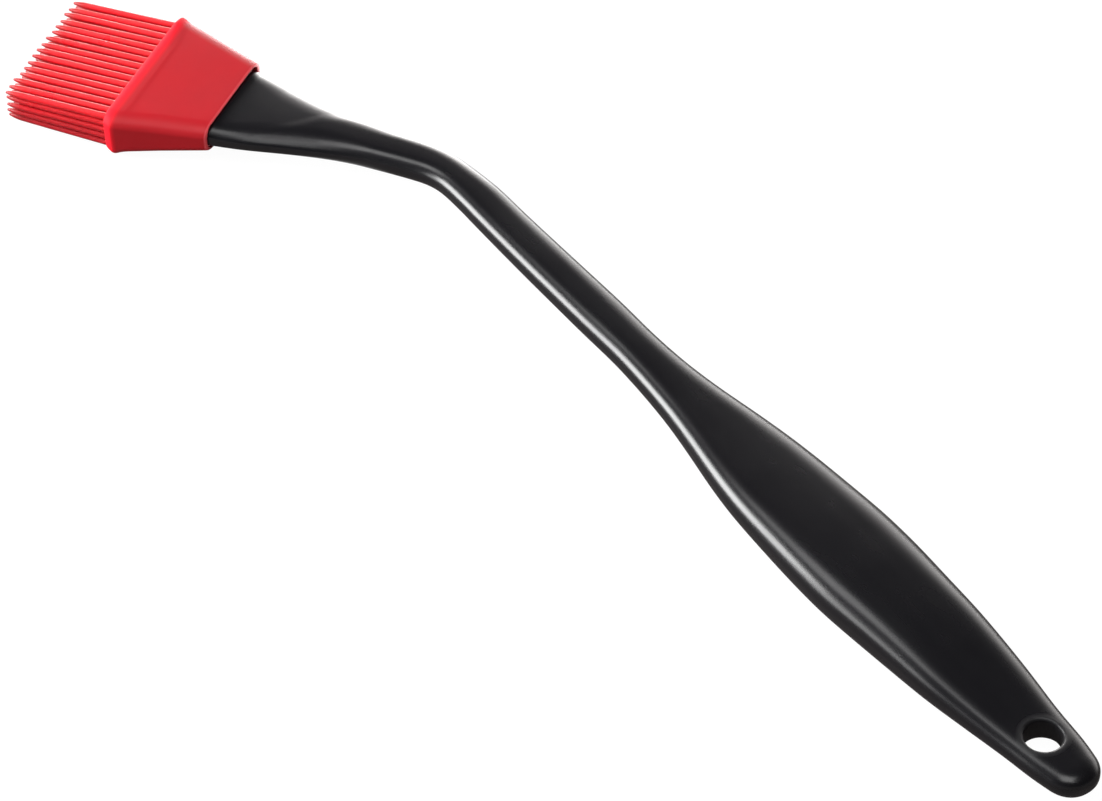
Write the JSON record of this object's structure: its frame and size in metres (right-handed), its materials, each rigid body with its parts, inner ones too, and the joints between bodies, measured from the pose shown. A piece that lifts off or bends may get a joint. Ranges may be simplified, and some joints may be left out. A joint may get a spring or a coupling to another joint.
{
  "type": "pastry brush",
  "caption": "Long-handled silicone pastry and basting brush with an angled flat head, a pull-off red bristle head and a hanging hole in the handle.",
  "frame": {"origin": "centre of the hanging hole, on the mid-plane of the handle", "axes": "+Z is the axis of the hanging hole and the normal of the wide faces; +X runs out through the butt of the handle, so the shaft runs along -X and then turns sideways towards -Y into the head"},
  "size_m": [0.3478, 0.0896, 0.013],
  "materials": {
    "black_nylon": "satin",
    "red_silicone": "satin"
  },
  "bodies": {
    "handle": {"handle": "black_nylon"},
    "head": {"head_sleeve": "red_silicone"},
    "row_1": {"bristle_row_1": "red_silicone"},
    "row_2": {"bristle_row_2": "red_silicone"},
    "row_3": {"bristle_row_3": "red_silicone"},
    "row_4": {"bristle_row_4": "red_silicone"},
    "row_5": {"bristle_row_5": "red_silicone"}
  },
  "joints": [
    {"name": "head_pull_off", "type": "slide", "parent": "handle", "child": "head", "axis": [-0.8409, -0.5413, 0], "range_m": [0, 0.03]},
    {"name": "bristle_flex_1", "type": "hinge", "parent": "head", "child": "row_1", "pos_m": [-0.29902, -0.04475, 0.00416], "axis": [-0.5413, 0.8409, 0], "range_deg": [-25, 25], "stiffness_Nm_per_rad": 0.002},
    {"name": "bristle_flex_2", "type": "hinge", "parent": "head", "child": "row_2", "pos_m": [-0.29902, -0.04475, 0.00208], "axis": [-0.5413, 0.8409, 0], "range_deg": [-25, 25], "stiffness_Nm_per_rad": 0.002},
    {"name": "bristle_flex_3", "type": "hinge", "parent": "head", "child": "row_3", "pos_m": [-0.29902, -0.04475, 0], "axis": [-0.5413, 0.8409, 0], "range_deg": [-25, 25], "stiffness_Nm_per_rad": 0.002},
    {"name": "bristle_flex_4", "type": "hinge", "parent": "head", "child": "row_4", "pos_m": [-0.29902, -0.04475, -0.00208], "axis": [-0.5413, 0.8409, 0], "range_deg": [-25, 25], "stiffness_Nm_per_rad": 0.002},
    {"name": "bristle_flex_5", "type": "hinge", "parent": "head", "child": "row_5", "pos_m": [-0.29902, -0.04475, -0.00416], "axis": [-0.5413, 0.8409, 0], "range_deg": [-25, 25], "stiffness_Nm_per_rad": 0.002}
  ],
  "couplings": [
    {"joint": "bristle_flex_2", "follows": "bristle_flex_1", "ratio": 1},
    {"joint": "bristle_flex_3", "follows": "bristle_flex_1", "ratio": 1},
    {"joint": "bristle_flex_4", "follows": "bristle_flex_1", "ratio": 1},
    {"joint": "bristle_flex_5", "follows": "bristle_flex_1", "ratio": 1}
  ]
}
